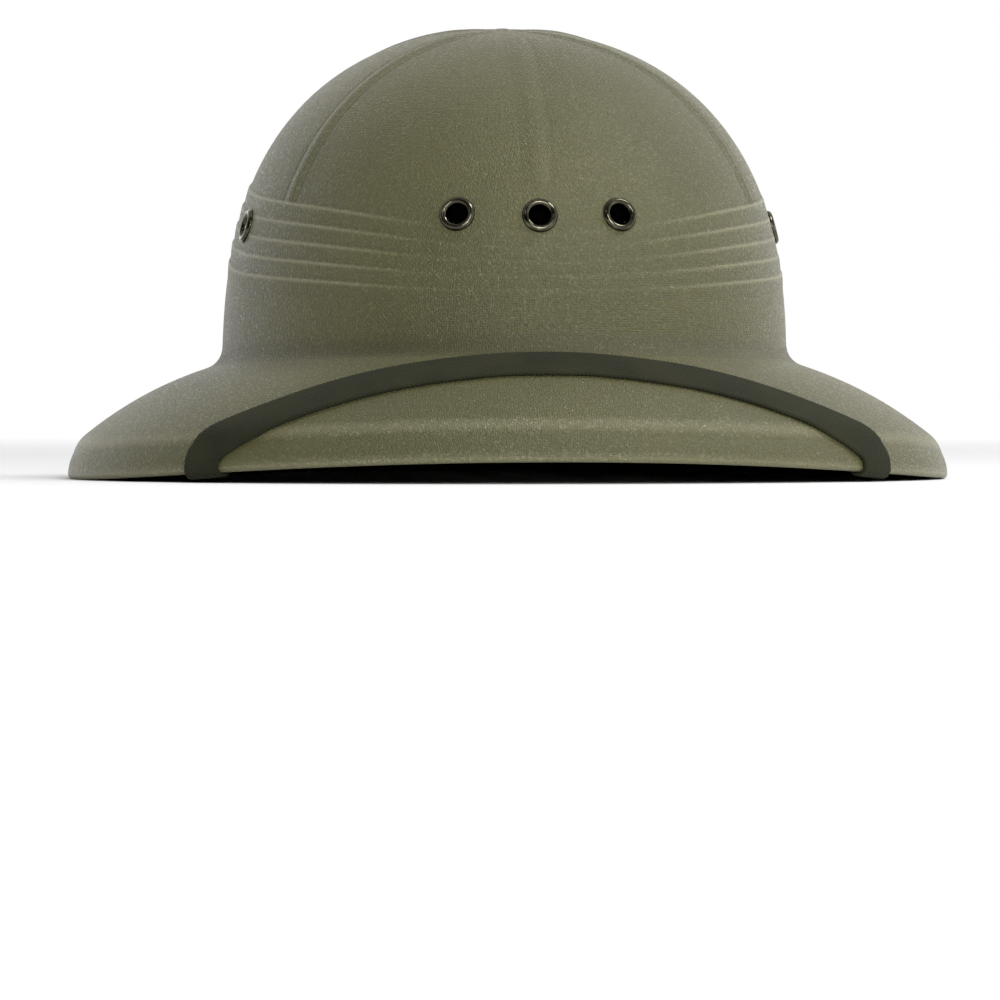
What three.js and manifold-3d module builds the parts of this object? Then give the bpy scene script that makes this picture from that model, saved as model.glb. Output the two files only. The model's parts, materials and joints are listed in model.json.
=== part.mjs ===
// Pith helmet: a pressed fibre shell with a cloth face, metal eyelets, a chin strap and a sweatband.
// Millimetres, +Z up, the front towards -Y. The rim stands on the plane z = 0, and the origin lies
// under the middle of the brim. Angles go round the helmet from the front, positive towards +X,
// which is the wearer's left.
import * as THREE from 'three';
import { mergeVertices } from 'three/addons/utils/BufferGeometryUtils.js';
import Module from 'manifold-3d';

const wasm = await Module();
wasm.setup();

// Brim: a sloping disc with a flange turned down round its edge
const brimWidth = 300;
const brimLength = 345;
const frontReach = 141;
const visorPower = 2.1;
const visorLift = 7;
const visorLiftPower = 2.2;
const brimBulge = 0.055;
const flangeHeight = 12.5;
const flangeDraft = 3;
const shoulderRound = 4;
const innerShoulderRound = 2.4;
const rimThickness = 4;
const rimRound = 1.2;

// Crown: an oval dome that leans forward on the brim
const crownWidth = 193;
const crownLength = 228;
const crownHeight = 126;
const crownBase = 28;
const crownSetForward = 16.5;
const crownLean = 7.2;
const crownPlanPower = 2.15;
const crownTopPower = 2.81;
const crownSidePower = 2.18;
const frontFoot = 43.5;
const rearFoot = 38;
const footRound = 6.5;
const wall = 2.6;

// Ribs that cover the seams between the six panels of the crown
const ribAngles = [0, 63, 121, 180, 239, 297];
const ribWidth = 6.5;
const ribHeight = 0.9;
const ribTopShare = 0.4;

// Moulded folds round the crown, like a wound cloth band
const foldCount = 5;
const foldMiddle = 58.5;
const foldSway = 2;
const foldSpreadFront = 18;
const foldSpreadSide = 25.5;
const foldSpreadPower = 1.2;
const foldDepthFront = 0.5;
const foldDepthSide = 0.8;
const foldLedge = 1.2;

// Eyelets that vent the crown
const eyeletWidth = 11.7;
const eyeletHole = 6.2;
const eyeletTube = 0.7;
const eyeletLip = 1.3;
const eyeletBackWidth = 10.4;
const eyeletSlack = 0.8;
const eyeletSpacing = 26.8;
const frontEyeletHeight = 72.6;
const sideEyeletHeight = 60.4;
const sideEyeletAngle = 82;
const seatInside = 0.65 * eyeletWidth;
const seatOutside = 1.3 * eyeletWidth;
const clearance = 0.3;

// An eyelet's outline from its edge to its hole, and from its hole to the clinched lip: across as a
// share of the way from the hole to the edge, rise as a share of the lip's height
const eyeletFace = [
  { across: 1, rise: 0 },
  { across: 0.9, rise: 0.5 },
  { across: 0.55, rise: 1 },
  { across: 0, rise: 0.4 },
];
const eyeletBack = [
  { across: 0, rise: 0.4 },
  { across: 0.5, rise: 0.8 },
  { across: 1, rise: 0.3 },
];

// Sweatband inside the crown, hung from its upper edge
const sweatbandHeight = 36;
const sweatbandThickness = 1.6;
const sweatbandDrop = 4;

// Chin strap, carried up over the visor, with its ends tucked behind the sweatband
const strapWidth = 14;
const strapThickness = 1.3;
const strapGap = 0.5;
const strapTuck = 4;

// The strap's middle line on each half of the visor: its angle as a share of the angle at which it
// goes round the rim, and its place as a share of the way from the crown's foot to the shoulder.
// It is drawn almost straight across the visor and turns down over the flange.
const strapRimAngle = 46.5;
const strapRoute = [
  { around: 0, across: 0.28 },
  { around: 0.15, across: 0.3 },
  { around: 0.44, across: 0.45 },
  { around: 0.61, across: 0.6 },
  { around: 0.73, across: 0.74 },
  { around: 0.83, across: 0.87 },
  { around: 0.92, across: 0.98 },
  { around: 0.98, across: 1.07 },
  { around: 1, across: 1.15 },
];

const crownRows = 8;
const brimRows = 4;
const innerRows = 10;
const columnsBetweenRibs = 6;
const eyeletSides = 12;
const strapRows = 8;
const strapVisorSteps = 24;
const bendPoints = 4;
const heightPasses = 6;

const { clamp, degToRad, lerp, smoothstep } = THREE.MathUtils;
const cloth = new THREE.MeshStandardMaterial({ color: '#6b6a52', roughness: 0.85, metalness: 0 });
const webbing = new THREE.MeshStandardMaterial({ color: '#34351f', roughness: 0.9, metalness: 0 });
const leather = new THREE.MeshStandardMaterial({ color: '#14130d', roughness: 0.55, metalness: 0 });
const darkMetal = new THREE.MeshStandardMaterial({ color: '#23231e', roughness: 0.3, metalness: 0.9 });

// A point of an oval whose front and rear halves may have their own reach and squareness
function oval(angle, halfWidth, front, rear, frontPower, rearPower) {
  const forward = Math.cos(angle);
  const aside = Math.sin(angle);
  const power = forward > 0 ? frontPower : rearPower;
  const reach = forward > 0 ? front : rear;
  const x = halfWidth * Math.sign(aside) * Math.abs(aside) ** (2 / power);
  const y = -reach * Math.sign(forward) * Math.abs(forward) ** (2 / power);
  return new THREE.Vector2(x, y);
}

// How high the rim stands off the ground: it rises only towards the middle of the visor
function rimLift(angle) {
  return visorLift * Math.max(Math.cos(angle), 0) ** visorLiftPower;
}

function rimPoint(angle, inset, height) {
  const rearReach = brimLength - frontReach;
  const plan = oval(angle, brimWidth / 2 - inset, frontReach - inset, rearReach - inset, visorPower, 2);
  const widestLine = frontReach - brimLength / 2;
  return new THREE.Vector3(plan.x, widestLine + plan.y, rimLift(angle) + height);
}

// The dome's width at a height, as a share of its width at the base
function domeShare(height, inset = 0) {
  const rise = clamp(height / (crownHeight - inset), 0, 1);
  return (1 - rise ** crownTopPower) ** (1 / crownSidePower);
}

function crownPoint(angle, height, inset = 0) {
  const half = crownLength / 2 - inset;
  const plan = oval(angle, crownWidth / 2 - inset, half, half, crownPlanPower, crownPlanPower);
  plan.multiplyScalar(domeShare(height, inset));
  const point = new THREE.Vector3(plan.x, plan.y, height);
  point.applyAxisAngle(new THREE.Vector3(1, 0, 0), degToRad(crownLean));
  return point.add(new THREE.Vector3(0, -crownSetForward, crownBase));
}

function crownNormal(angle, height) {
  const step = 0.01;
  const around = crownPoint(angle + step, height).sub(crownPoint(angle - step, height));
  const up = crownPoint(angle, height + step).sub(crownPoint(angle, height - step));
  return around.cross(up).normalize();
}

// Height on the dome, measured up its own axis, of the point that stands at a true height
function domeHeightAt(angle, trueHeight, inset = 0) {
  let height = 0;
  for (let pass = 0; pass < heightPasses; pass += 1) {
    height += trueHeight - crownPoint(angle, height, inset).z;
  }
  return height;
}

function foldPitch(angle) {
  const aside = Math.abs(Math.sin(angle)) ** foldSpreadPower;
  const spread = lerp(foldSpreadFront, foldSpreadSide, aside);
  return spread / (foldCount - 1);
}

// Height of a fold's upper edge, the folds being counted from the top. The folds rise a little
// between the front and the sides.
function foldLine(angle, fold) {
  const middle = foldMiddle + foldSway * Math.sin(2 * angle) ** 2;
  return middle + ((foldCount - 1) / 2 - fold) * foldPitch(angle);
}

function onBend(start, corner, end, share) {
  const first = start.clone().lerp(corner, share);
  const second = corner.clone().lerp(end, share);
  return first.lerp(second, share);
}

function bend(start, corner, end, shares) {
  return shares.map((share) => onBend(start, corner, end, share));
}

function evenShares(count, from, to) {
  return Array.from({ length: count }, (_, index) => lerp(from, to, index / (count - 1)));
}

// Eyelets: their place round the crown, and the face and tube that they are turned from
function eyeletTable() {
  const shift = eyeletSpacing / ((crownWidth / 2) * domeShare(frontEyeletHeight));
  const aside = Math.asin(shift ** (crownPlanPower / 2));
  const side = degToRad(sideEyeletAngle);
  return [
    { name: 'eyelet_front_right', angle: -aside, height: frontEyeletHeight },
    { name: 'eyelet_front_middle', angle: 0, height: frontEyeletHeight },
    { name: 'eyelet_front_left', angle: aside, height: frontEyeletHeight },
    { name: 'eyelet_side_right', angle: -side, height: sideEyeletHeight },
    { name: 'eyelet_side_left', angle: side, height: sideEyeletHeight },
    { name: 'eyelet_rear_right', angle: Math.PI + aside, height: frontEyeletHeight },
    { name: 'eyelet_rear_middle', angle: Math.PI, height: frontEyeletHeight },
    { name: 'eyelet_rear_left', angle: Math.PI - aside, height: frontEyeletHeight },
  ];
}

const eyelets = eyeletTable();

// Folds and ribs are pressed flat where an eyelet is set
function seatFlatness(point) {
  let share = 1;
  for (const { angle, height } of eyelets) {
    const distance = point.distanceTo(crownPoint(angle, height));
    share *= smoothstep(distance, seatInside, seatOutside);
  }
  return share;
}

function raised(angle, height, relief) {
  const point = crownPoint(angle, height);
  return point.addScaledVector(crownNormal(angle, height), relief * seatFlatness(point));
}

// The slope down from a higher point to a lower one
function slopeBetween(high, low) {
  return Math.atan2(high.z - low.z, Math.hypot(high.x - low.x, high.y - low.y));
}

// The corners that the brim's section is drawn through at one angle
function brimCorners(angle) {
  const footHeight = lerp(rearFoot, frontFoot, ((1 + Math.cos(angle)) / 2) ** 2);
  const footOnDome = domeHeightAt(angle, footHeight);
  const foot = crownPoint(angle, footOnDome);
  const shoulder = rimPoint(angle, flangeDraft, flangeHeight);
  const chord = shoulder.clone().sub(foot);
  const outward = new THREE.Vector3(chord.x, chord.y, 0).normalize();
  const slope = slopeBetween(foot, shoulder);
  const normal = outward.clone().multiplyScalar(Math.sin(slope)).setZ(Math.cos(slope));
  const middle = foot.clone().lerp(shoulder, 0.5).addScaledVector(normal, 2 * brimBulge * chord.length());

  const footSlope = slopeBetween(foot, middle);
  const mouthHeight = foot.z - wall * (1 / Math.cos(footSlope) - Math.tan(footSlope));
  const mouthOnDome = domeHeightAt(angle, mouthHeight, wall);
  const edgeSlope = slopeBetween(middle, shoulder);
  const innerDrop = wall / Math.cos(edgeSlope) - rimThickness * Math.tan(edgeSlope);
  return {
    foot,
    footOnDome,
    middle,
    shoulder,
    mouth: crownPoint(angle, mouthOnDome, wall),
    mouthOnDome,
    innerMiddle: middle.clone().addScaledVector(normal, -wall),
    innerShoulder: rimPoint(angle, flangeDraft + rimThickness, flangeHeight - innerDrop),
    length: chord.length(),
  };
}

// The section of brim and rim, in runs that follow each other from the crown's foot outwards,
// round the rim and back in below to the mouth of the crown. The rim's edges are rounded in two
// straight steps each.
function brimSection(angle, rows = brimRows) {
  const at = brimCorners(angle);
  const top = (share) => onBend(at.foot, at.middle, at.shoulder, share);
  const under = (share) => onBend(at.mouth, at.innerMiddle, at.innerShoulder, share);
  const footShare = footRound / at.length;
  const roundShare = shoulderRound / at.length;
  const bevel = (1 - Math.SQRT1_2) * rimRound;
  const thirds = evenShares(bendPoints, 0, 1);

  const flangeTop = at.shoulder.clone().lerp(rimPoint(angle, 0, rimRound), shoulderRound / flangeHeight);
  const innerFoot = rimPoint(angle, rimThickness, rimRound);
  const innerFlangeTop = at.innerShoulder.clone().lerp(innerFoot, innerShoulderRound / flangeHeight);
  return {
    fillet: bend(crownPoint(angle, at.footOnDome + footRound), at.foot, top(footShare), thirds),
    brim: evenShares(rows + 2, footShare, 1 - roundShare).slice(1, -1).map(top),
    shoulder: bend(top(1 - roundShare), at.shoulder, flangeTop, thirds),
    rim: [
      rimPoint(angle, 0, rimRound),
      rimPoint(angle, bevel, bevel),
      rimPoint(angle, rimRound, 0),
      rimPoint(angle, rimThickness - rimRound, 0),
      rimPoint(angle, rimThickness - bevel, bevel),
      innerFoot,
    ],
    innerShoulder: bend(innerFlangeTop, at.innerShoulder, under(1 - roundShare), [0, 0.5, 1]),
    underside: evenShares(rows + 1, 1 - roundShare, footShare).slice(1, -1).map(under),
    mouth: bend(under(footShare), at.mouth, crownPoint(angle, at.mouthOnDome + footRound, wall), thirds),
  };
}

// Columns of the shell: four at each rib, close together, and others spread between the ribs
function columnAngles(radius) {
  const angles = [];
  const last = ribAngles.length - 1;
  ribAngles.forEach((rib, index) => {
    const here = degToRad(rib);
    const next = degToRad(index === last ? 360 : ribAngles[index + 1]);
    const widestHalf = (next - here) / 8;
    const half = Math.min(ribWidth / 2 / radius, widestHalf);
    for (const share of [-1, -ribTopShare, ribTopShare, 1]) {
      angles.push({ angle: here + share * half, onRib: Math.abs(share) < 1 ? 1 : 0 });
    }
    for (const share of evenShares(columnsBetweenRibs + 2, 0, 1).slice(1, -1)) {
      angles.push({ angle: lerp(here + half, next - half, share), onRib: 0 });
    }
  });
  return angles;
}

function ringAt(frontHeight, place) {
  return columnAngles((crownWidth / 2) * domeShare(frontHeight)).map(place);
}

// Panels above the folds, with the ribs standing on them
function upperRings() {
  const rings = [];
  for (let row = crownRows; row > 0; row -= 1) {
    const share = Math.sin((row / (crownRows + 1)) * (Math.PI / 2));
    const heightAt = (angle) => lerp(foldLine(angle, 0), crownHeight, share);
    rings.push(ringAt(heightAt(0), ({ angle, onRib }) => raised(angle, heightAt(angle), ribHeight * onRib)));
  }
  return rings;
}

// Each fold stands out just below its upper edge and sinks back towards the next one
function foldRings() {
  const rings = [];
  for (let fold = 0; fold < foldCount; fold += 1) {
    const rib = fold === 0 ? ribHeight : 0;
    const depth = (angle) => lerp(foldDepthFront, foldDepthSide, Math.sin(angle) ** 2);
    rings.push(ringAt(0, ({ angle, onRib }) => raised(angle, foldLine(angle, fold), rib * onRib)));
    rings.push(ringAt(0, ({ angle }) => raised(angle, foldLine(angle, fold) - foldLedge, depth(angle))));
  }
  rings.push(ringAt(0, ({ angle }) => crownPoint(angle, foldLine(angle, foldCount))));
  return rings;
}

function lowerRings() {
  const sections = ringAt(0, ({ angle }) => Object.values(brimSection(angle)).flat());
  return sections[0].map((_, row) => sections.map((section) => section[row]));
}

function innerRings() {
  const rings = [];
  for (let row = 1; row <= innerRows; row += 1) {
    const share = Math.sin((row / (innerRows + 1)) * (Math.PI / 2));
    rings.push(ringAt(0, ({ angle }) => {
      const start = brimCorners(angle).mouthOnDome + footRound;
      return crownPoint(angle, lerp(start, crownHeight - wall, share), wall);
    }));
  }
  return rings;
}

// Skins a row of rings of points. Tips close the two ends; without tips the last ring meets the
// first. Each four-sided face is split along its shorter diagonal.
function skin(rings, tips = []) {
  const sides = rings[0].length;
  const points = [...rings.flat(), ...tips];
  const faces = [];
  const distance = (from, to) => points[from].distanceTo(points[to]);
  const spans = tips.length ? rings.length - 1 : rings.length;
  for (let ring = 0; ring < spans; ring += 1) {
    const below = ring * sides;
    const above = ((ring + 1) % rings.length) * sides;
    for (let side = 0; side < sides; side += 1) {
      const next = (side + 1) % sides;
      const [a, b, c, d] = [below + side, below + next, above + next, above + side];
      faces.push(...(distance(a, c) < distance(b, d) ? [a, b, c, a, c, d] : [a, b, d, b, c, d]));
    }
  }
  tips.forEach((_, end) => {
    const tip = rings.length * sides + end;
    const base = end === 0 ? 0 : (rings.length - 1) * sides;
    for (let side = 0; side < sides; side += 1) {
      const next = (side + 1) % sides;
      faces.push(tip, base + (end === 0 ? next : side), base + (end === 0 ? side : next));
    }
  });
  const geometry = new THREE.BufferGeometry().setFromPoints(points);
  geometry.setIndex(faces);
  return facingOut(geometry);
}

function facingOut(geometry) {
  const position = geometry.getAttribute('position');
  const index = geometry.getIndex();
  const [a, b, c] = [new THREE.Vector3(), new THREE.Vector3(), new THREE.Vector3()];
  let volume = 0;
  for (let face = 0; face < index.count; face += 3) {
    a.fromBufferAttribute(position, index.getX(face));
    b.fromBufferAttribute(position, index.getX(face + 1));
    c.fromBufferAttribute(position, index.getX(face + 2));
    volume += a.dot(b.cross(c));
  }
  if (volume < 0) {
    geometry.setIndex(Array.from(index.array).reverse());
  }
  geometry.computeVertexNormals();
  return geometry;
}

function bare(geometry) {
  geometry.deleteAttribute('normal');
  geometry.deleteAttribute('uv');
  return facingOut(mergeVertices(geometry, 1e-4));
}

function toSolid(geometry, matrix = new THREE.Matrix4()) {
  const placed = geometry.clone().applyMatrix4(matrix);
  return new wasm.Manifold(new wasm.Mesh({
    numProp: 3,
    vertProperties: new Float32Array(placed.getAttribute('position').array),
    triVerts: new Uint32Array(placed.getIndex().array),
  }));
}

function fromSolid(solid) {
  const mesh = solid.getMesh();
  const geometry = new THREE.BufferGeometry();
  geometry.setAttribute('position', new THREE.BufferAttribute(mesh.vertProperties, 3));
  geometry.setIndex(new THREE.BufferAttribute(mesh.triVerts, 1));
  geometry.computeVertexNormals();
  return geometry;
}

// Placement that stands a turned piece on the crown, its axis along the crown's normal
function seatMatrix({ angle, height }) {
  const turn = new THREE.Quaternion();
  turn.setFromUnitVectors(new THREE.Vector3(0, 0, 1), crownNormal(angle, height));
  return new THREE.Matrix4().compose(crownPoint(angle, height), turn, new THREE.Vector3(1, 1, 1));
}

function drillGeometry() {
  const radius = eyeletHole / 2 + eyeletTube + clearance;
  const drill = new THREE.CylinderGeometry(radius, radius, 8 * wall, eyeletSides);
  return bare(drill.rotateX(Math.PI / 2));
}

function shellGeometry() {
  const rings = [...upperRings(), ...foldRings(), ...lowerRings(), ...innerRings()];
  const top = crownPoint(0, crownHeight).add(new THREE.Vector3(0, 0, ribHeight));
  const ceiling = crownPoint(0, crownHeight - wall, wall);
  const drill = drillGeometry();
  let shell = toSolid(skin(rings, [top, ceiling]));
  for (const eyelet of eyelets) {
    shell = shell.subtract(toSolid(drill, seatMatrix(eyelet)));
  }
  return fromSolid(shell);
}

// An eyelet: a rounded face outside, a tube through the wall and a clinched lip inside
function eyeletGeometry() {
  const hole = eyeletHole / 2;
  const tube = hole + eyeletTube;
  const face = eyeletWidth / 2;
  const back = eyeletBackWidth / 2;
  const rear = -wall - eyeletSlack;
  const points = [
    new THREE.Vector2(tube, clearance),
    ...eyeletFace.map(({ across, rise }) => (
      new THREE.Vector2(lerp(hole, face, across), clearance + rise * eyeletLip))),
    ...eyeletBack.map(({ across, rise }) => (
      new THREE.Vector2(lerp(hole, back, across), rear - rise * eyeletLip))),
    new THREE.Vector2(tube, rear),
    new THREE.Vector2(tube, clearance),
  ];
  const turned = new THREE.LatheGeometry(points, eyeletSides);
  return bare(turned.rotateX(Math.PI / 2));
}

// The sweatband meets the crown along its upper edge. Lower down it stands off far enough for the
// strap's end to lie behind it.
function sweatbandStandoff(share) {
  const strapEnd = (sweatbandDrop + footRound + strapTuck) / sweatbandHeight;
  return clearance + (strapThickness + strapGap) * (1 - share) / (1 - strapEnd);
}

function sweatbandPoint(angle, share, depth) {
  const height = brimCorners(angle).mouthOnDome - sweatbandDrop + share * sweatbandHeight;
  return crownPoint(angle, height, wall + sweatbandStandoff(share) + depth);
}

function sweatbandGeometry() {
  const outside = [0, 0.5, 1].map((share) => ({ share, depth: 0 }));
  const inside = [1, 0.5, 0].map((share) => ({ share, depth: sweatbandThickness }));
  const loop = [...outside, ...inside];
  return skin(loop.map(({ share, depth }) => ringAt(0, ({ angle }) => sweatbandPoint(angle, share, depth))));
}

// The line that the strap lies on at one angle: out over the brim, round the rim, straight across
// to the mouth of the crown and up behind the sweatband
function strapLine(angle) {
  const at = brimCorners(angle);
  const section = brimSection(angle, strapRows);
  const end = crownPoint(angle, at.mouthOnDome + footRound + strapTuck, wall);
  return [at.foot, ...section.brim, ...section.shoulder, ...section.rim, ...section.mouth, end];
}

const strapDistances = [0];
strapLine(degToRad(strapRimAngle)).forEach((point, index, line) => {
  if (index > 0) {
    strapDistances.push(strapDistances[index - 1] + point.distanceTo(line[index - 1]));
  }
});

function onStrapLine(angle, distance) {
  const line = strapLine(angle);
  let piece = 1;
  while (piece < line.length - 1 && strapDistances[piece] < distance) {
    piece += 1;
  }
  const length = strapDistances[piece] - strapDistances[piece - 1];
  return line[piece - 1].clone().lerp(line[piece], (distance - strapDistances[piece - 1]) / length);
}

// Places of the strap's middle on the left half: over the visor, then round the rim to its end
function strapStations() {
  const shoulderIndex = 1 + strapRows + bendPoints / 2;
  const rim = degToRad(strapRimAngle);
  const toShoulder = strapDistances[shoulderIndex];
  const knots = strapRoute.map(({ around, across }) => (
    new THREE.Vector3(around * rim, across * toShoulder, 0)));
  const route = new THREE.CatmullRomCurve3(knots, false, 'centripetal');
  const onVisor = route.getPoints(strapVisorSteps).map(({ x, y }) => ({ angle: x, distance: y }));
  const reached = onVisor[strapVisorSteps].distance + strapThickness / 2;
  const beyond = strapDistances.filter((distance) => distance > reached);
  return [...onVisor, ...beyond.map((distance) => ({ angle: rim, distance }))];
}

// The strap's bed at one place: the ways across the line and around the helmet, and the normal
function strapBed(angle, distance) {
  const step = 0.3;
  const turn = step / brimWidth;
  const out = onStrapLine(angle, distance + step).sub(onStrapLine(angle, distance - step));
  const around = onStrapLine(angle + turn, distance).sub(onStrapLine(angle - turn, distance));
  const normal = out.clone().cross(around).normalize();
  return { out: out.divideScalar(2 * step), around: around.divideScalar(2 * turn), normal };
}

function strapRing({ angle, distance }, along) {
  const { out, around, normal } = strapBed(angle, distance);
  const sideways = normal.clone().cross(along).normalize();
  const mixed = out.dot(around);
  const spread = out.lengthSq() * around.lengthSq() - mixed ** 2;
  const [sideOut, sideAround] = [sideways.dot(out), sideways.dot(around)];
  const perDistance = (sideOut * around.lengthSq() - sideAround * mixed) / spread;
  const perAngle = (sideAround * out.lengthSq() - sideOut * mixed) / spread;
  const place = (share, lift) => {
    const shift = share * strapWidth / 2;
    const at = [angle + shift * perAngle, distance + shift * perDistance];
    return onStrapLine(...at).addScaledVector(strapBed(...at).normal, lift);
  };
  const below = [-1, 0, 1].map((share) => place(share, strapGap));
  const above = [1, 0, -1].map((share) => place(share, strapGap + strapThickness));
  return [...below, ...above];
}

function strapGeometry() {
  const left = strapStations();
  const right = left.slice(1).map(({ angle, distance }) => ({ angle: -angle, distance }));
  const stations = [...right.reverse(), ...left];
  const middles = stations.map(({ angle, distance }) => onStrapLine(angle, distance));
  const last = stations.length - 1;
  const rings = stations.map((station, index) => {
    const along = middles[Math.min(index + 1, last)].clone().sub(middles[Math.max(index - 1, 0)]);
    return strapRing(station, along.normalize());
  });
  const middleOf = (ring) => ring.reduce((sum, point) => sum.add(point), new THREE.Vector3())
    .divideScalar(ring.length);
  return skin(rings, [middleOf(rings[0]), middleOf(rings[last])]);
}

function named(name, geometry, material) {
  const mesh = new THREE.Mesh(geometry, material);
  mesh.name = name;
  return mesh;
}

const helmet = new THREE.Group();
helmet.add(named('shell', shellGeometry(), cloth));
helmet.add(named('sweatband', sweatbandGeometry(), leather));
helmet.add(named('chin_strap', strapGeometry(), webbing));
for (const eyelet of eyelets) {
  const mesh = named(eyelet.name, eyeletGeometry(), darkMetal);
  seatMatrix(eyelet).decompose(mesh.position, mesh.quaternion, mesh.scale);
  helmet.add(mesh);
}

export default helmet;
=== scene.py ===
import json
import math

import bmesh
import bpy
import numpy as np
from mathutils import Matrix, Vector

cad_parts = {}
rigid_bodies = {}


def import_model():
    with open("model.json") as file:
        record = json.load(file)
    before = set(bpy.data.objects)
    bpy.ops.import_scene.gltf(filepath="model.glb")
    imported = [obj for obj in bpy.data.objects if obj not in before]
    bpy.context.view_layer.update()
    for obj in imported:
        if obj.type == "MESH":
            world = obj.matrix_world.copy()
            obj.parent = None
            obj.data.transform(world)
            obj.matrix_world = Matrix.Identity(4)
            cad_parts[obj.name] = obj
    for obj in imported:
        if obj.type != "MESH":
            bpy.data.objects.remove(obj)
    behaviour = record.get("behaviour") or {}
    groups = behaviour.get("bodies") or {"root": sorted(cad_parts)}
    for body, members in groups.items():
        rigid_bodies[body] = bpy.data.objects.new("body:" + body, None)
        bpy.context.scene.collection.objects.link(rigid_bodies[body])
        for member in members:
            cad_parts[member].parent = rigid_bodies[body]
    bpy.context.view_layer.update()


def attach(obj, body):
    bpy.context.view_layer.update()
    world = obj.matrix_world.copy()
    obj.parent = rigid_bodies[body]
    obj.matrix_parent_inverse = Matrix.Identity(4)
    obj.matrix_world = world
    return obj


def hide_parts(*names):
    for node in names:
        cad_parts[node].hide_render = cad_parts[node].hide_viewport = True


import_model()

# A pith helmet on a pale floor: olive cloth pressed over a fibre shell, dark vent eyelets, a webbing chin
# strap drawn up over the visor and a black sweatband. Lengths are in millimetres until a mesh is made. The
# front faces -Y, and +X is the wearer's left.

MM = 0.001

# Brim
BRIM_WIDTH = 300
BRIM_LENGTH = 345
FRONT_REACH = 141
VISOR_POWER = 2.1
REAR_POWER = 2
VISOR_LIFT = 7
VISOR_LIFT_POWER = 2.2
BRIM_BULGE = 0.055
FLANGE_HEIGHT = 12.5
FLANGE_DRAFT = 3
FLANGE_SWELL = 0.45
SHOULDER_ROUND = 4
INNER_SHOULDER_ROUND = 2.4
RIM_THICKNESS = 4
RIM_ROUND = 1.5
RIM_TURNS = 5

# Crown
CROWN_WIDTH = 193
CROWN_LENGTH = 228
CROWN_HEIGHT = 126
CROWN_BASE = 28
CROWN_SET_FORWARD = 16.5
CROWN_LEAN = math.radians(7.2)
CROWN_PLAN_POWER = 2.15
CROWN_TOP_POWER = 2.81
CROWN_SIDE_POWER = 2.18
FRONT_FOOT = 43.5
REAR_FOOT = 38
FOOT_ROUND = 6.5
WALL = 2.6
HEIGHT_ROUNDS = 6

# Ribs over the seams between the panels
RIB_ANGLES = [0, 63, 121, 180, 239, 297]
RIB_HEIGHT = 0.7
RIB_TOP = 0.2
RIB_FOOT = 3.7
RIB_GROOVE = 4.2
RIB_GROOVE_WIDTH = 0.45
RIB_GROOVE_DEPTH = 0.16
RIB_STAND_FRONT = 0.6

# Painted marks beside a rib: a painted highlight along its edge and a painted shadow line along the groove
# at its foot, both weaker at the front and back
RIB_EDGE = 2.7
RIB_EDGE_WIDTH = 0.8
RIB_EDGE_HIGHLIGHT = 0.4
RIB_SHADOW_LINE = 4.0
RIB_SHADOW_LINE_WIDTH = 0.5
RIB_MARKS_FRONT = 0.1

# Moulded folds
FOLD_COUNT = 5
FOLD_MIDDLE = 58.5
FOLD_SWAY = 2
FOLD_SPREAD_FRONT = 18
FOLD_SPREAD_SIDE = 25.5
FOLD_SPREAD_POWER = 1.2
FOLD_DEPTH_FRONT = 0.16
FOLD_DEPTH_SIDE = 0.5
FOLD_LEDGE = 0.9
FOLD_ROWS = (0, 0.05, 0.1, 0.15, 0.2, 0.26, 0.33, 0.45, 0.6, 0.75, 0.88)
# The rest set the painted marks: a painted highlight along each fold's ridge, painted shade at its top and
# foot, and how much of both shows at the front
FOLD_EDGE_WIDTH = 0.75
FOLD_TOP_WIDTH = 0.5
FOLD_FOOT_WIDTH = 0.7
FOLD_VALLEY_SHADE = 0.5
FOLD_MARKS_FRONT = 0.2

# Vent eyelets
EYELET_WIDTH = 11.7
EYELET_HOLE = 8.2
EYELET_SPACING = 26.8
FRONT_EYELET_HEIGHT = 72.6
SIDE_EYELET_HEIGHT = 60.4
SIDE_EYELET_ANGLE = math.radians(82)
SEAT_FLAT = 0.65
SEAT_BLEND = 1.3
EYELET_SIDES = 72
DRILL_REACH = 9
DRILL_CORE = 0.01
DRILL_SIDES = 40

# Sweatband
SWEATBAND_HEIGHT = 36
SWEATBAND_THICKNESS = 1.6
SWEATBAND_DROP = 4
SWEATBAND_WAVE = 0.25
SWEATBAND_COLUMNS = 300
SWEATBAND_ROWS = 16
SWEATBAND_TURNS = 5
CLEARANCE = 0.3

# Chin strap
STRAP_WIDTH = 14
STRAP_THICKNESS = 1.3
STRAP_GAP = 0.5
STRAP_TUCK = 4
STRAP_BED = 0.4
STRAP_TILT = 0.35
STRAP_STEP = 0.34
STRAP_BRIM_ROWS = 36
STRAP_BEND_ROWS = 12
STRAP_RIM_ANGLE = math.radians(46.5)
STRAP_ROUTE = [
    (0, 0.28), (0.15, 0.3), (0.44, 0.45), (0.61, 0.6), (0.73, 0.74),
    (0.83, 0.87), (0.92, 0.98), (0.98, 1.07), (1, 1.15),
]

# Cloth
THREAD = 0.8
PANEL_SHIFT = 300


# The helmet's form
def lerp(a, b, share):
    return a + (b - a) * share


def smooth(value, low, high):
    share = np.clip((value - low) / (high - low), 0, 1)
    return share * share * (3 - 2 * share)


def bell(value, middle, width):
    return np.exp(-(((value - middle) / width) ** 2))


def unit(vectors):
    return vectors / np.linalg.norm(vectors, axis=-1, keepdims=True)


def oval(angle, half_width, front, rear, front_power, rear_power):
    forward, aside = np.cos(angle), np.sin(angle)
    power = np.where(forward > 0, front_power, rear_power)
    reach = np.where(forward > 0, front, rear)
    x = half_width * np.sign(aside) * np.abs(aside) ** (2 / power)
    y = -reach * np.sign(forward) * np.abs(forward) ** (2 / power)
    return x, y


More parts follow.
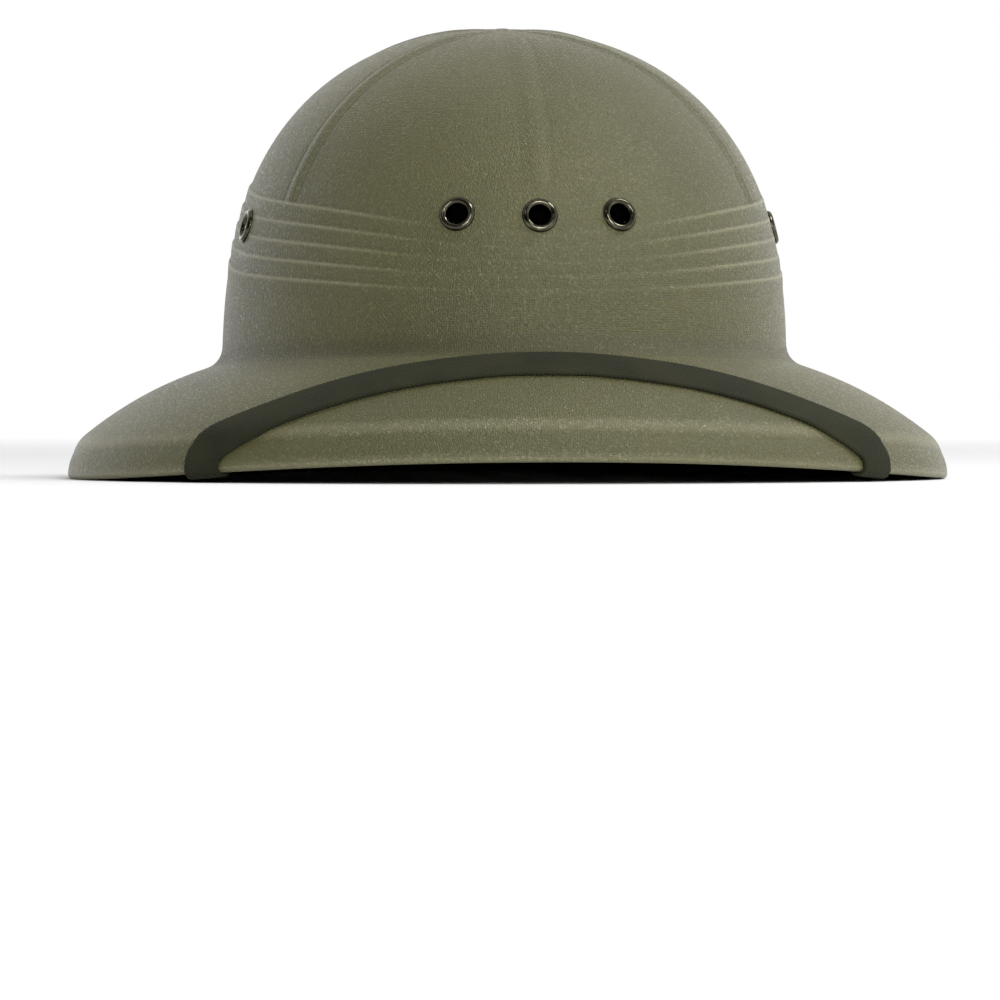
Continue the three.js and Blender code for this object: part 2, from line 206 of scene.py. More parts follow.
def rim_point(angle, inset, height):
    rear_reach = BRIM_LENGTH - FRONT_REACH
    x, y = oval(
        angle, BRIM_WIDTH / 2 - inset, FRONT_REACH - inset, rear_reach - inset, VISOR_POWER, REAR_POWER)
    lift = VISOR_LIFT * np.maximum(np.cos(angle), 0) ** VISOR_LIFT_POWER
    return np.stack([x, y + FRONT_REACH - BRIM_LENGTH / 2, lift + height + 0 * x], -1)


def dome_share(height, inset=0):
    rise = np.clip(height / (CROWN_HEIGHT - inset), 0, 1)
    return (1 - rise ** CROWN_TOP_POWER) ** (1 / CROWN_SIDE_POWER)


def crown_point(angle, height, inset=0):
    half = CROWN_LENGTH / 2 - inset
    x, y = oval(angle, CROWN_WIDTH / 2 - inset, half, half, CROWN_PLAN_POWER, CROWN_PLAN_POWER)
    share = dome_share(height, inset)
    x, y, z = x * share, y * share, height + 0 * x
    turned_y = y * math.cos(CROWN_LEAN) - z * math.sin(CROWN_LEAN)
    turned_z = y * math.sin(CROWN_LEAN) + z * math.cos(CROWN_LEAN)
    return np.stack([x, turned_y - CROWN_SET_FORWARD, turned_z + CROWN_BASE], -1)


def crown_normal(angle, height):
    step = 0.01
    around = crown_point(angle + step, height) - crown_point(angle - step, height)
    up = crown_point(angle, height + step) - crown_point(angle, height - step)
    return unit(np.cross(around, up))


def dome_height_at(angle, true_height, inset=0):
    height = 0 * angle
    for _ in range(HEIGHT_ROUNDS):
        height = height + true_height - crown_point(angle, height, inset)[..., 2]
    return height


def fold_pitch(angle):
    aside = np.abs(np.sin(angle)) ** FOLD_SPREAD_POWER
    return lerp(FOLD_SPREAD_FRONT, FOLD_SPREAD_SIDE, aside) / (FOLD_COUNT - 1)


def fold_line(angle, fold):
    middle = FOLD_MIDDLE + FOLD_SWAY * np.sin(2 * angle) ** 2
    return middle + ((FOLD_COUNT - 1) / 2 - fold) * fold_pitch(angle)


def eyelet_table():
    shift = EYELET_SPACING / ((CROWN_WIDTH / 2) * dome_share(FRONT_EYELET_HEIGHT))
    aside = math.asin(shift ** (CROWN_PLAN_POWER / 2))
    return [
        ("front_right", -aside, FRONT_EYELET_HEIGHT),
        ("front_middle", 0.0, FRONT_EYELET_HEIGHT),
        ("front_left", aside, FRONT_EYELET_HEIGHT),
        ("side_right", -SIDE_EYELET_ANGLE, SIDE_EYELET_HEIGHT),
        ("side_left", SIDE_EYELET_ANGLE, SIDE_EYELET_HEIGHT),
        ("rear_right", math.pi + aside, FRONT_EYELET_HEIGHT),
        ("rear_middle", math.pi, FRONT_EYELET_HEIGHT),
        ("rear_left", math.pi - aside, FRONT_EYELET_HEIGHT),
    ]


EYELETS = eyelet_table()


def seat_flatness(points):
    share = np.ones(points.shape[:-1])
    for _, angle, height in EYELETS:
        middle = crown_point(np.float64(angle), np.float64(height))
        distance = np.linalg.norm(points - middle, axis=-1)
        share = share * smooth(distance, SEAT_FLAT * EYELET_WIDTH, SEAT_BLEND * EYELET_WIDTH)
    return share


def raised(angle, height, relief):
    points = crown_point(angle, height)
    return points + crown_normal(angle, height) * (relief * seat_flatness(points))[..., None]


def on_bend(start, corner, end, share):
    return lerp(lerp(start, corner, share), lerp(corner, end, share), share)


def slope_between(high, low):
    run = np.hypot(high[..., 0] - low[..., 0], high[..., 1] - low[..., 1])
    return np.arctan2(high[..., 2] - low[..., 2], run)


def brim_corners(angle):
    foot_height = lerp(REAR_FOOT, FRONT_FOOT, ((1 + np.cos(angle)) / 2) ** 2)
    foot_on_dome = dome_height_at(angle, foot_height)
    foot = crown_point(angle, foot_on_dome)
    shoulder = rim_point(angle, FLANGE_DRAFT, FLANGE_HEIGHT)
    chord = shoulder - foot
    length = np.linalg.norm(chord, axis=-1)
    outward = unit(chord * [1, 1, 0])
    slope = slope_between(foot, shoulder)
    normal = outward * np.sin(slope)[..., None]
    normal[..., 2] = np.cos(slope)
    middle = lerp(foot, shoulder, 0.5) + normal * (2 * BRIM_BULGE * length)[..., None]
    foot_slope = slope_between(foot, middle)
    mouth_height = foot[..., 2] - WALL * (1 / np.cos(foot_slope) - np.tan(foot_slope))
    mouth_on_dome = dome_height_at(angle, mouth_height, WALL)
    edge_slope = slope_between(middle, shoulder)
    inner_drop = WALL / np.cos(edge_slope) - RIM_THICKNESS * np.tan(edge_slope)
    return {
        "foot": foot, "foot_on_dome": foot_on_dome, "middle": middle, "shoulder": shoulder,
        "mouth": crown_point(angle, mouth_on_dome, WALL), "mouth_on_dome": mouth_on_dome,
        "inner_middle": middle - normal * WALL, "length": length, "outward": outward,
        "inner_shoulder": rim_point(angle, FLANGE_DRAFT + RIM_THICKNESS, FLANGE_HEIGHT - inner_drop),
    }


def shares(count, low=0.0, high=1.0):
    return [lerp(low, high, index / (count - 1)) for index in range(count)]


def brim_section(angle, brim_rows, bend_rows, flange_rows, under_rows):
    """Rows of points from the crown's foot outwards, round the rim and back to the crown's mouth."""
    at = brim_corners(angle)
    foot_share = (FOOT_ROUND / at["length"])[..., None]
    round_share = (SHOULDER_ROUND / at["length"])[..., None]

    def top(share):
        return on_bend(at["foot"], at["middle"], at["shoulder"], share)

    def under(share):
        return on_bend(at["mouth"], at["inner_middle"], at["inner_shoulder"], share)

    rim_top = rim_point(angle, 0, RIM_ROUND)
    flange_top = lerp(at["shoulder"], rim_top, SHOULDER_ROUND / FLANGE_HEIGHT)
    inner_foot = rim_point(angle, RIM_THICKNESS, RIM_ROUND)
    inner_top = lerp(at["inner_shoulder"], inner_foot, INNER_SHOULDER_ROUND / FLANGE_HEIGHT)
    fillet_start = crown_point(angle, at["foot_on_dome"] + FOOT_ROUND)
    mouth_end = crown_point(angle, at["mouth_on_dome"] + FOOT_ROUND, WALL)
    swell = at["outward"] * FLANGE_SWELL
    turns = [math.pi / 2 * share for share in shares(RIM_TURNS)]
    bends = [(RIM_ROUND * (1 - math.cos(turn)), RIM_ROUND * (1 - math.sin(turn))) for turn in turns]
    return {
        "fillet": [on_bend(fillet_start, at["foot"], top(foot_share), s) for s in shares(bend_rows)],
        "brim": [top(lerp(foot_share, 1 - round_share, s)) for s in shares(brim_rows + 2)[1:-1]],
        "shoulder": [
            on_bend(top(1 - round_share), at["shoulder"], flange_top, s) for s in shares(bend_rows)],
        "flange": [
            lerp(flange_top, rim_top, s) + swell * 4 * s * (1 - s) for s in shares(flange_rows + 2)[1:-1]],
        "rim": [
            *(rim_point(angle, inset, height) for inset, height in bends),
            *(rim_point(angle, RIM_THICKNESS - inset, height) for inset, height in reversed(bends))],
        "inner_flange": [lerp(inner_foot, inner_top, s) for s in shares(flange_rows)[1:-1]],
        "inner_shoulder": [
            on_bend(inner_top, at["inner_shoulder"], under(1 - round_share), s) for s in shares(bend_rows)],
        "underside": [under(lerp(1 - round_share, foot_share, s)) for s in shares(under_rows + 2)[1:-1]],
        "mouth": [on_bend(under(foot_share), at["mouth"], mouth_end, s) for s in shares(bend_rows)],
    }


# Meshes
def new_piece(name, vertices, faces, material):
    mesh = bpy.data.meshes.new(name)
    mesh.from_pydata((np.asarray(vertices) * MM).tolist(), [], faces)
    mesh.polygons.foreach_set("use_smooth", [True] * len(mesh.polygons))
    for one in material if isinstance(material, list) else [material]:
        mesh.materials.append(one)
    piece = bpy.data.objects.new(name, mesh)
    bpy.context.scene.collection.objects.link(piece)
    return piece


def give_uv(piece, name, values):
    layer = piece.data.uv_layers.new(name=name)
    layer.data.foreach_set("uv", np.asarray(values, np.float32).ravel())


def give_marks(piece, name, values):
    """Stores one number a vertex, which a material reads by its name."""
    layer = piece.data.attributes.new(name, "FLOAT", "POINT")
    layer.data.foreach_set("value", np.asarray(values, np.float32).ravel())


def grid_faces(rows, columns, closed_rows=False, closed_columns=True):
    faces = []
    for row in range(rows if closed_rows else rows - 1):
        here, there = row * columns, ((row + 1) % rows) * columns
        for column in range(columns if closed_columns else columns - 1):
            after = (column + 1) % columns
            faces.append((here + column, here + after, there + after, there + column))
    return faces


def corners_of(row, column, after):
    """A face's corners, in the order of grid_faces."""
    return (row, column), (row, after), (row + 1, after), (row + 1, column)


# Columns of the shell: dense over each rib, even between the ribs
RIB_OFFSETS = [-5.4, -4.8, -4.2, -3.7, -3.3, -2.9, -2.5, -2.1, -1.7, -0.9, 0,
               0.9, 1.7, 2.1, 2.5, 2.9, 3.3, 3.7, 4.2, 4.8, 5.4]
BETWEEN = 35
OFF_THE_RIBS = 99
RIB_MIDDLE = len(RIB_OFFSETS) // 2
PANEL_COLUMNS = len(RIB_OFFSETS) + BETWEEN
COLUMNS = len(RIB_ANGLES) * PANEL_COLUMNS
CROWN_ROWS = 74
LOWER_CROWN_ROWS = 10
INSIDE_ROWS = 34


def shell_columns(radius):
    """Angles of the columns at one height, and each column's offset from its rib's middle line."""
    angles, offsets, scales = [], [], []
    for index, rib in enumerate(RIB_ANGLES):
        here = math.radians(rib)
        after = math.radians(RIB_ANGLES[index + 1] if index + 1 < len(RIB_ANGLES) else 360)
        reach = RIB_OFFSETS[-1]
        half = min(reach / max(radius, 0.1), (after - here) / 4)
        for offset in RIB_OFFSETS:
            angles.append(here + offset / reach * half)
            offsets.append(offset)
            scales.append(half * radius / reach)
        for share in shares(BETWEEN + 2)[1:-1]:
            angles.append(lerp(here + half, after - half, share))
            offsets.append(OFF_THE_RIBS)
            scales.append(1)
    return np.array(angles), np.array(offsets, float), np.array(scales)


def rib_relief(angle, offset, scale):
    """Height over the crown: the ribs on the sides stand up most."""
    away = np.abs(offset)
    top = 1 - smooth(away, RIB_TOP, RIB_FOOT)
    groove = bell(away, RIB_GROOVE, RIB_GROOVE_WIDTH)
    stand = lerp(RIB_STAND_FRONT, 1, np.abs(np.sin(angle)))
    return (RIB_HEIGHT * top - RIB_GROOVE_DEPTH * groove) * np.minimum(scale, 1) * stand


def shell_rows():
    """The shell's rows of points from the top outside to the top inside, with marks of painted highlight and
    painted shade for its material.
    """
    rows, parts, crest, hollow = [], [], [], []

    def add(points, part, painted_highlight_marks=0.0, painted_shade_marks=0.0):
        rows.append(points)
        parts.append(part)
        crest.append(np.zeros(COLUMNS) + painted_highlight_marks)
        hollow.append(np.zeros(COLUMNS) + painted_shade_marks)

    base_radius = CROWN_WIDTH / 2
    for row in range(CROWN_ROWS, 0, -1):
        share = math.sin(row / (CROWN_ROWS + 1) * math.pi / 2)
        height_front = lerp(fold_line(0.0, 0), CROWN_HEIGHT, share)
        angle, offset, scale = shell_columns(base_radius * dome_share(height_front))
        height = lerp(fold_line(angle, 0), CROWN_HEIGHT, share)
        # A painted highlight along each rib's edge and a painted shadow line beside it
        aside = lerp(RIB_MARKS_FRONT, 1, np.abs(np.sin(angle)))
        edge = RIB_EDGE_HIGHLIGHT * aside * bell(np.abs(offset), RIB_EDGE, RIB_EDGE_WIDTH)
        line = aside * bell(np.abs(offset), RIB_SHADOW_LINE, RIB_SHADOW_LINE_WIDTH)
        add(raised(angle, height, rib_relief(angle, offset, scale)), "crown", edge, line)

    angle, offset, scale = shell_columns(base_radius)
    depth = lerp(FOLD_DEPTH_FRONT, FOLD_DEPTH_SIDE, np.sin(angle) ** 2)
    pitch = fold_pitch(angle)
    shown = lerp(FOLD_MARKS_FRONT, 1, smooth(np.abs(np.sin(angle)), 0.25, 0.8))
    for fold in range(FOLD_COUNT):
        for share in FOLD_ROWS:
            drop = share * pitch
            height = fold_line(angle, fold) - drop
            decay = np.clip((pitch - drop) / (pitch - FOLD_LEDGE), 0, 1)
            relief = depth * smooth(drop, 0, FOLD_LEDGE) * decay
            if fold == 0:
                relief = relief + rib_relief(angle, offset, scale) * (1 - smooth(drop, 0.2, FOLD_LEDGE))
            # A painted highlight along the fold's ridge and painted shade at its top and foot
            ridge = bell(drop, FOLD_LEDGE, FOLD_EDGE_WIDTH) * shown
            ends = bell(drop, 0, FOLD_TOP_WIDTH) + bell(drop, pitch, FOLD_FOOT_WIDTH)
            valley = FOLD_VALLEY_SHADE * ends * shown
            add(raised(angle, height, relief), "crown", ridge, valley)

    section = brim_section(angle, brim_rows=30, bend_rows=8, flange_rows=9, under_rows=22)
    last_fold = fold_line(angle, FOLD_COUNT)
    fillet_top = brim_corners(angle)["foot_on_dome"] + FOOT_ROUND
    for share in shares(LOWER_CROWN_ROWS)[:-1]:
        add(crown_point(angle, lerp(last_fold, fillet_top, share)), "crown")
    for part, points in section.items():
        for index, row in enumerate(points):
            share = index / (len(points) - 1)
            if part == "fillet":
                # Painted shade in the concave fillet where the crown meets the brim
                add(row, "crown" if share < 0.5 else "brim", 0, math.sin(share * math.pi))
            elif part == "shoulder":
                # A painted highlight along the bend of the shoulder
                add(row, "flange", 0.7 * math.sin(share * math.pi))
            elif part == "flange":
                # A painted highlight just above the flange's bottom edge
                add(row, "flange", 0.5 * smooth(share, 0.6, 1.0))
            elif part == "rim":
                # A painted highlight on the rim, stronger on its outer side
                add(row, "rim", 0.8 if share < 0.5 else 0.4)
            elif part == "inner_shoulder":
                # Painted shade in the corner inside the flange
                add(row, "under", 0, math.sin(share * math.pi))
            else:
                add(row, "brim" if part == "brim" else "under")
    mouth = brim_corners(angle)["mouth_on_dome"] + FOOT_ROUND
    for row in range(1, INSIDE_ROWS + 1):
        share = math.sin(row / (INSIDE_ROWS + 1) * math.pi / 2)
        add(crown_point(angle, lerp(mouth, CROWN_HEIGHT - WALL, share), WALL), "inside")
    return np.array(rows), parts, np.array(crest), np.array(hollow), brim_corners(angle)


def row_lengths(rows):
    """Distance of each point down its column from the first row."""
    steps = np.linalg.norm(np.diff(rows, axis=0), axis=-1)
    return np.concatenate([np.zeros((1, rows.shape[1])), np.cumsum(steps, axis=0)])


def cloth_places(rows, parts, corners):
    """Where each face's corners lie on the flat cloth, in metres: by panel on the crown, and in plan on
    the brim, unrolled over the flange."""
    down = row_lengths(rows)
    ring = np.linalg.norm(np.roll(rows, -1, axis=1) - rows, axis=-1)
    around = np.concatenate([np.zeros((len(rows), 1)), np.cumsum(ring, axis=1)], axis=1)
    shoulder_row = parts.index("flange")
    plan = rows[..., :2].copy()
    for row in range(shoulder_row, len(rows)):
        beyond = (down[row] - down[shoulder_row])[:, None]
        if parts[row] in ("flange", "rim"):
            plan[row] = plan[shoulder_row] + corners["outward"][:, :2] * beyond
    places = []
    for row in range(len(rows) - 1):
        part = parts[row + 1]
        for column in range(COLUMNS):
            after = (column + 1) % COLUMNS
            if part in ("crown", "inside"):
                panel = (column - RIB_MIDDLE) // PANEL_COLUMNS
                start = (panel * PANEL_COLUMNS + RIB_MIDDLE) % COLUMNS
                end = start + PANEL_COLUMNS
                apart = PANEL_SHIFT * (panel % len(RIB_ANGLES))
                for at_row, at in corners_of(row, column, column + 1):
                    line = around[at_row]
                    total = line[-1]
                    here = line[at] + (total if panel < 0 else 0)
                    low = line[start]
                    high = line[end] if end <= COLUMNS else line[end - COLUMNS] + total
                    places.append((here - (low + high) / 2, down[at_row][at % COLUMNS] + apart))
            else:
                for at_row, at in corners_of(row, column, after):
                    places.append(tuple(plan[at_row][at]))
    return places


def shell_piece(name, cover, lining):
    rows, parts, crest, hollow, corners = shell_rows()
    count = len(rows)
    faces = grid_faces(count, COLUMNS)
    top = crown_point(np.float64(0), np.float64(CROWN_HEIGHT)) + [0, 0, RIB_HEIGHT * 0.5]
    ceiling = crown_point(np.float64(0), np.float64(CROWN_HEIGHT - WALL), WALL)
    vertices = np.concatenate([rows.reshape(-1, 3), [top, ceiling]])
    top_index, ceiling_index = count * COLUMNS, count * COLUMNS + 1
    last = (count - 1) * COLUMNS
    caps = []
    for column in range(COLUMNS):
        after = (column + 1) % COLUMNS
        caps.append((top_index, after, column))
        caps.append((ceiling_index, last + column, last + after))
    piece = new_piece(name, vertices, faces + caps, [cover, lining])
    places = cloth_places(rows, parts, corners)
    cap_places = [tuple(vertices[vertex][:2]) for cap in caps for vertex in cap]
    give_uv(piece, "cloth", np.array(places + cap_places) * MM)
    inside = [parts[row + 1] in ("under", "inside") for row in range(count - 1) for _ in range(COLUMNS)]
    piece.data.polygons.foreach_set(
        "material_index", np.array(inside + [index % 2 == 1 for index in range(len(caps))], np.int32))
    give_marks(piece, "crest", np.append(crest.ravel(), [0, 0]))
    give_marks(piece, "hollow", np.append(hollow.ravel(), [0, 0]))
    turn_outwards(piece)
    return piece


def turn_outwards(piece):
    work = bmesh.new()
    work.from_mesh(piece.data)
    if work.calc_volume(signed=True) < 0:
        bmesh.ops.reverse_faces(work, faces=work.faces)
    work.to_mesh(piece.data)
    work.free()


def seat_matrix(angle, height):
    """Stands a turned piece on the crown at an eyelet's place."""
    point = crown_point(np.float64(angle), np.float64(height)) * MM
    normal = Vector(crown_normal(np.float64(angle), np.float64(height)))
    return Matrix.Translation(Vector(point)) @ normal.to_track_quat("Z", "Y").to_matrix().to_4x4()


def turned(name, outline, sides, material):
    """A closed outline of radius and height, turned round its axis."""
    angles = np.arange(sides) * 2 * math.pi / sides
    vertices = [(r * math.cos(a), r * math.sin(a), h) for r, h in outline for a in angles]
    piece = new_piece(name, vertices, grid_faces(len(outline), sides, closed_rows=True), material)
    turn_outwards(piece)
    return piece


def smooth_outline(points, steps):
    """A closed smooth line through the points."""
    points = np.array(points, float)
    made = []
    for index in range(len(points)):
        a, b, c, d = (points[(index + shift) % len(points)] for shift in (-1, 0, 1, 2))
        for share in np.arange(steps) / steps:
            made.append(0.5 * (2 * b + (c - a) * share + (2 * a - 5 * b + 4 * c - d) * share ** 2
                               + (3 * b - a - 3 * c + d) * share ** 3))
    return made


def drill_shell(piece):
    """Cuts the eyelets' holes through the shell."""
    radius = EYELET_HOLE / 2
    outline = [
        (DRILL_CORE, -DRILL_REACH), (radius, -DRILL_REACH), (radius, DRILL_REACH), (DRILL_CORE, DRILL_REACH)]
    drills = bpy.data.collections.new("drills")
    for _, angle, height in EYELETS:
        drill = turned("drill", outline, DRILL_SIDES, piece.data.materials[0])
        drill.data.transform(seat_matrix(angle, height))
        drills.objects.link(drill)
    cut = piece.modifiers.new("vents", "BOOLEAN")
    cut.operation = "DIFFERENCE"
    cut.operand_type = "COLLECTION"
    cut.collection = drills
    cut.solver = "MANIFOLD"
    apply_modifiers(piece)
    for drill in list(drills.objects):
        bpy.data.objects.remove(drill)
    bpy.data.collections.remove(drills)


def apply_modifiers(piece):
    bpy.context.view_layer.update()
    ready = piece.evaluated_get(bpy.context.evaluated_depsgraph_get())
    mesh = bpy.data.meshes.new_from_object(ready)
    piece.modifiers.clear()
    piece.data = mesh


# The strap
def strap_line(angle):
    """Points of the strap's bed at each angle, from the crown's foot round the rim to the sweatband."""
    at = brim_corners(angle)
    section = brim_section(
        angle, brim_rows=STRAP_BRIM_ROWS, bend_rows=STRAP_BEND_ROWS, flange_rows=8, under_rows=2)
    end = crown_point(angle, at["mouth_on_dome"] + FOOT_ROUND + STRAP_TUCK, WALL)
    rows = [at["foot"], *section["brim"], *section["shoulder"], *section["flange"], *section["rim"],
            *section["mouth"], end]
    return np.stack(rows, 1)


def strap_distances():
    line = strap_line(np.array([STRAP_RIM_ANGLE]))[0]
    return np.concatenate([[0], np.cumsum(np.linalg.norm(np.diff(line, axis=0), axis=-1))])


STRAP_DISTANCES = strap_distances()
TO_SHOULDER = STRAP_DISTANCES[1 + STRAP_BRIM_ROWS + STRAP_BEND_ROWS // 2]


def on_strap_line(angle, distance):
    lines = strap_line(angle)
    index = np.clip(np.searchsorted(STRAP_DISTANCES, distance), 1, len(STRAP_DISTANCES) - 1)
    low, high = STRAP_DISTANCES[index - 1], STRAP_DISTANCES[index]
    share = ((distance - low) / (high - low))[:, None]
    each = np.arange(len(angle))
    return lerp(lines[each, index - 1], lines[each, index], share)


def strap_bed(angle, distance):
    step = 0.6
    turn = step / BRIM_WIDTH
    out = on_strap_line(angle, distance + step) - on_strap_line(angle, distance - step)
    around = on_strap_line(angle + turn, distance) - on_strap_line(angle - turn, distance)
    return out / (2 * step), around / (2 * turn), unit(np.cross(out, around))


def centripetal(knots, count):
    """A smooth open line through the knots, evenly spaced by its own parameter."""
    knots = np.array(knots, float)
    knots = np.concatenate([[2 * knots[0] - knots[1]], knots, [2 * knots[-1] - knots[-2]]])
    made = []
    spans = len(knots) - 3
    for value in np.linspace(0, spans, count):
        span = min(int(value), spans - 1)
        p = knots[span:span + 4]
        t = np.concatenate([[0], np.cumsum(np.linalg.norm(np.diff(p, axis=0), axis=1) ** 0.5)])
        at = lerp(t[1], t[2], value - span)
        a = [lerp(p[i], p[i + 1], (at - t[i]) / (t[i + 1] - t[i])) for i in range(3)]
        b = [lerp(a[i], a[i + 1], (at - t[i]) / (t[i + 2] - t[i])) for i in range(2)]
        made.append(lerp(b[0], b[1], (at - t[1]) / (t[2] - t[1])))
    return np.array(made)


def strap_stations(step):
    """Angle and distance of the strap's middle line, from one end over the visor to the other."""
    radius = 100  # makes a knot's angle about as long as it is on the brim
    knots = [(around * STRAP_RIM_ANGLE * radius, across * TO_SHOULDER) for around, across in STRAP_ROUTE]
    visor = centripetal(knots, 200) / [radius, 1]
    reached = visor[-1][1] + 0.5
    beyond = [(STRAP_RIM_ANGLE, d) for d in np.arange(reached, STRAP_DISTANCES[-1], step)]
    left = np.concatenate([visor, beyond, [(STRAP_RIM_ANGLE, STRAP_DISTANCES[-1])]])
    both = np.concatenate([(left[1:] * [-1, 1])[::-1], left])
    middle = on_strap_line(both[:, 0], both[:, 1])
    length = np.concatenate([[0], np.cumsum(np.linalg.norm(np.diff(middle, axis=0), axis=1))])
    even = np.linspace(0, length[-1], int(length[-1] / step))
    return (np.interp(even, length, both[:, 0]), np.interp(even, length, both[:, 1]), even)


# Cross section of the strap: place across as a share of the half width, height as a share of the
# thickness, going up one edge, over the face and back under
STRAP_SECTION = [
    (-1.0, 0.35), (-1.0, 0.65), (-0.97, 0.9), (-0.9, 1.0), (-0.72, 0.97), (-0.5, 0.98), (-0.25, 1.0),
    (0.0, 1.0), (0.25, 1.0), (0.5, 0.98), (0.72, 0.97), (0.9, 1.0), (0.97, 0.9), (1.0, 0.65),
    (1.0, 0.35), (0.97, 0.1), (0.9, 0.0), (0.45, 0.02), (0.0, 0.02), (-0.45, 0.02), (-0.9, 0.0),
    (-0.97, 0.1),
]
SELVEDGE_PITCH = 1.35
SELVEDGE_TOOTH = 0.16
SELVEDGE_FROM = 0.95


def strap_piece(name, material):
    angle, distance, length = strap_stations(STRAP_STEP)
    middle = on_strap_line(angle, distance)
    along = unit(np.gradient(middle, axis=0))
    out, around, normal = strap_bed(angle, distance)
    sideways = unit(np.cross(normal, along))
    mixed = (out * around).sum(-1)
    out2, around2 = (out * out).sum(-1), (around * around).sum(-1)
    spread = out2 * around2 - mixed ** 2
    side_out, side_around = (sideways * out).sum(-1), (sideways * around).sum(-1)
    per_distance = (side_out * around2 - side_around * mixed) / spread
    per_angle = (side_around * out2 - side_out * mixed) / spread
    rings = []
    visor = smooth(length, 30, 70) * smooth(length[-1] - length, 30, 70)
    for across, height in STRAP_SECTION:
        teeth = SELVEDGE_TOOTH * np.sin(2 * math.pi * length / SELVEDGE_PITCH)
        shift = across * (STRAP_WIDTH / 2 + (teeth if abs(across) > SELVEDGE_FROM else 0))
        at_angle, at_distance = angle + shift * per_angle, distance + shift * per_distance
        bed_normal = strap_bed(at_angle, at_distance)[2]
        lift = STRAP_GAP * STRAP_BED + STRAP_THICKNESS * height + visor * STRAP_TILT * (across + 1) / 2
        rings.append(on_strap_line(at_angle, at_distance) + bed_normal * lift[:, None])
    points = np.stack(rings, 1)
    stations, round_count = points.shape[:2]
    faces = grid_faces(stations, round_count)
    faces.append(tuple(range(round_count)))
    faces.append(tuple(reversed(range((stations - 1) * round_count, stations * round_count))))
    piece = new_piece(name, points.reshape(-1, 3), faces, material)
    section = np.array(STRAP_SECTION + STRAP_SECTION[:1]) * [STRAP_WIDTH / 2, STRAP_THICKNESS]
    girth = np.concatenate([[0], np.cumsum(np.linalg.norm(np.diff(section, axis=0), axis=1))])
    places = []
    for row in range(stations - 1):
        for column in range(round_count):
            for at_row, at in corners_of(row, column, column + 1):
                places.append((length[at_row], girth[at]))
    places += [(0, 0)] * (2 * round_count)
    give_uv(piece, "webbing", np.array(places) * MM)
    turn_outwards(piece)
    return piece


# The sweatband
def sweatband_point(angle, share, depth):
    strap_end = (SWEATBAND_DROP + FOOT_ROUND + STRAP_TUCK) / SWEATBAND_HEIGHT
    standoff = CLEARANCE + (STRAP_THICKNESS + STRAP_GAP) * (1 - share) / (1 - strap_end)
    height = brim_corners(angle)["mouth_on_dome"] - SWEATBAND_DROP + share * SWEATBAND_HEIGHT
    return crown_point(angle, height, WALL + standoff + depth)


def sweatband_piece(name, material):
    angle = np.arange(SWEATBAND_COLUMNS) * 2 * math.pi / SWEATBAND_COLUMNS
    ripple = np.sin(5 * angle + 0.7) + 0.6 * np.sin(9 * angle + 2.1)
    wave = SWEATBAND_WAVE * (ripple + 1.6) / 3.2
    rows, spots = [], []
    thick = SWEATBAND_THICKNESS
    for share in shares(SWEATBAND_ROWS):
        rows.append(sweatband_point(angle, share, 0.02 * thick))
        spots.append(share * SWEATBAND_HEIGHT)
    for turn in shares(SWEATBAND_TURNS)[1:-1]:
        depth = thick * (1 - math.cos(turn * math.pi)) / 2
        bulge = 0.5 * thick * math.sin(turn * math.pi) / SWEATBAND_HEIGHT
        rows.append(sweatband_point(angle, 1 + bulge, depth))
        spots.append(SWEATBAND_HEIGHT)
    for share in reversed(shares(SWEATBAND_ROWS)):
        rows.append(sweatband_point(angle, share, thick + wave * math.sin(share * math.pi)))
        spots.append(share * SWEATBAND_HEIGHT)
    for turn in shares(SWEATBAND_TURNS)[1:-1]:
        depth = thick * (1 + math.cos(turn * math.pi)) / 2
        bulge = 0.5 * thick * math.sin(turn * math.pi) / SWEATBAND_HEIGHT
        rows.append(sweatband_point(angle, -bulge, depth))
        spots.append(0)
    points = np.array(rows)
    faces = grid_faces(len(rows), SWEATBAND_COLUMNS, closed_rows=True)
    piece = new_piece(name, points.reshape(-1, 3), faces, material)
    give_marks(piece, "up_band", np.repeat(spots, SWEATBAND_COLUMNS))
    turn_outwards(piece)
    return piece


# Shader maths
class Value:
    """A socket in a node tree. The operators add Math nodes."""

    def __init__(self, tree, socket):
        self.tree, self.socket = tree, socket

    def math(self, operation, *others):
        return self.tree.node("ShaderNodeMath", {"operation": operation}, self, *others)

    def __add__(self, other): return self.math("ADD", other)
    def __radd__(self, other): return self.math("ADD", other)
    def __mul__(self, other): return self.math("MULTIPLY", other)
    def __rmul__(self, other): return self.math("MULTIPLY", other)
    def __sub__(self, other): return self.math("SUBTRACT", other)
    def __rsub__(self, other): return self.math("MULTIPLY", -1) + other
    def __truediv__(self, other): return self.math("DIVIDE", other)
    def __abs__(self): return self.math("ABSOLUTE")
    def sin(self): return self.math("SINE")
    def least(self, other): return self.math("MINIMUM", other)

    def ramp(self, low, high, start=0, end=1):
        """From start below low to end above high, smooth between."""
        return self.tree.node(
            "ShaderNodeMapRange", {"interpolation_type": "SMOOTHSTEP"}, self, low, high, start, end)


class Tree:
    """A node tree whose nodes are made one call each."""

    def __init__(self, tree):
        self.nodes, self.links = tree.nodes, tree.links
        self.nodes.clear()

    def node(self, kind, settings=None, *values, out=0, **named):
        """Each socket gets a value or a link, by its place or its name, and None leaves it alone."""
        made = self.nodes.new(kind)
        for key, value in (settings or {}).items():
            setattr(made, key, value)
        wanted = list(enumerate(values)) + [(key.replace("_", " "), value) for key, value in named.items()]
        for key, value in wanted:
            if isinstance(value, Value):
                self.links.new(value.socket, made.inputs[key])
            elif value is not None:
                made.inputs[key].default_value = value
        return Value(self, made.outputs[out]) if made.outputs else None


